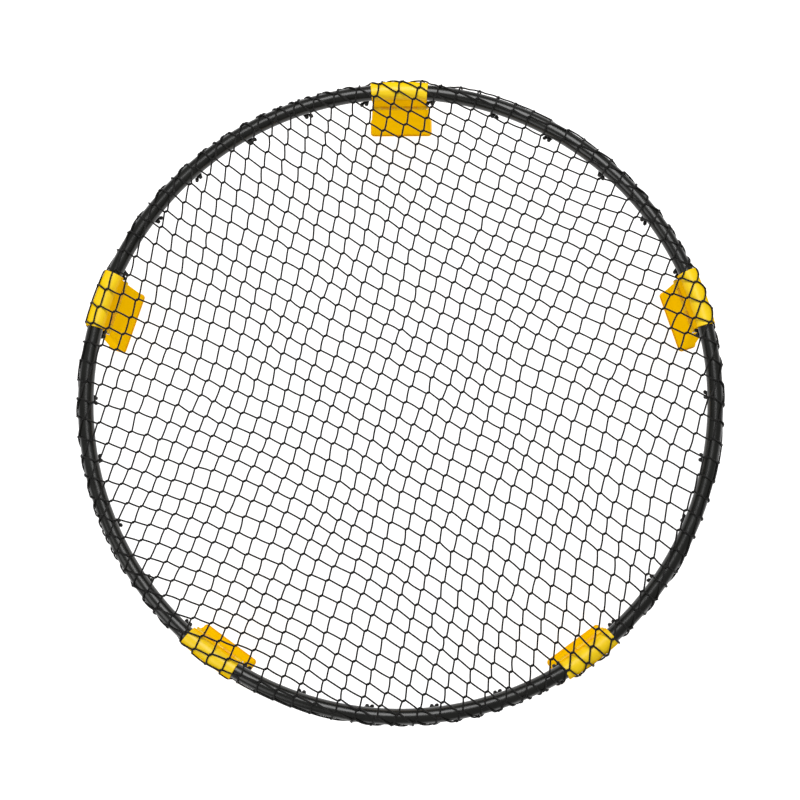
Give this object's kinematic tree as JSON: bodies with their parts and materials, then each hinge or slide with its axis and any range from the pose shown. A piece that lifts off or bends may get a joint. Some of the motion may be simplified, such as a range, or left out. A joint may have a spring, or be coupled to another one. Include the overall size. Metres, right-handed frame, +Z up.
{
  "type": "roundnet set",
  "caption": "Round black lawn-game net on a tubular hoop held level by five folding yellow legs.",
  "frame": {"origin": "on the ground, at the ring's axis", "axes": "+Z up along the ring's axis, +Y towards the middle of leg 1, +X to the right of it"},
  "size_m": [0.924, 0.9312, 0.2032],
  "materials": {
    "black_tube": "satin black moulded plastic, finely scuffed",
    "black_hook": "matt black moulded plastic",
    "yellow_socket": "bright yellow moulded plastic, semi-gloss",
    "yellow_leg": "yellow moulded plastic, semi-gloss",
    "steel_pin": "plain steel",
    "net_cord": "black twisted polyester twine"
  },
  "bodies": {
    "rim": {"rim_tube_1": "black_tube", "rim_tube_2": "black_tube", "rim_tube_3": "black_tube", "rim_tube_4": "black_tube", "rim_tube_5": "black_tube", "net_hooks_1": "black_hook", "net_hooks_2": "black_hook", "net_hooks_3": "black_hook", "net_hooks_4": "black_hook", "net_hooks_5": "black_hook", "leg_socket_1": "yellow_socket", "leg_socket_2": "yellow_socket", "leg_socket_3": "yellow_socket", "leg_socket_4": "yellow_socket", "leg_socket_5": "yellow_socket", "hinge_pin_1": "steel_pin", "hinge_pin_2": "steel_pin", "hinge_pin_3": "steel_pin", "hinge_pin_4": "steel_pin", "hinge_pin_5": "steel_pin", "net_bed": "net_cord", "net_border": "net_cord"},
    "leg_1": {"leg_1": "yellow_leg"},
    "leg_2": {"leg_2": "yellow_leg"},
    "leg_3": {"leg_3": "yellow_leg"},
    "leg_4": {"leg_4": "yellow_leg"},
    "leg_5": {"leg_5": "yellow_leg"}
  },
  "joints": [
    {"name": "leg_fold_1", "type": "hinge", "parent": "rim", "child": "leg_1", "pos_m": [0, 0.4362, 0.1474], "axis": [-1, 0, 0], "range_deg": [0, 88]},
    {"name": "leg_fold_2", "type": "hinge", "parent": "rim", "child": "leg_2", "pos_m": [-0.41485, 0.13479, 0.1474], "axis": [-0.309, -0.9511, 0], "range_deg": [0, 88]},
    {"name": "leg_fold_3", "type": "hinge", "parent": "rim", "child": "leg_3", "pos_m": [-0.25639, -0.35289, 0.1474], "axis": [0.809, -0.5878, 0], "range_deg": [0, 88]},
    {"name": "leg_fold_4", "type": "hinge", "parent": "rim", "child": "leg_4", "pos_m": [0.25639, -0.35289, 0.1474], "axis": [0.809, 0.5878, 0], "range_deg": [0, 88]},
    {"name": "leg_fold_5", "type": "hinge", "parent": "rim", "child": "leg_5", "pos_m": [0.41485, 0.13479, 0.1474], "axis": [-0.309, 0.9511, 0], "range_deg": [0, 88]}
  ]
}
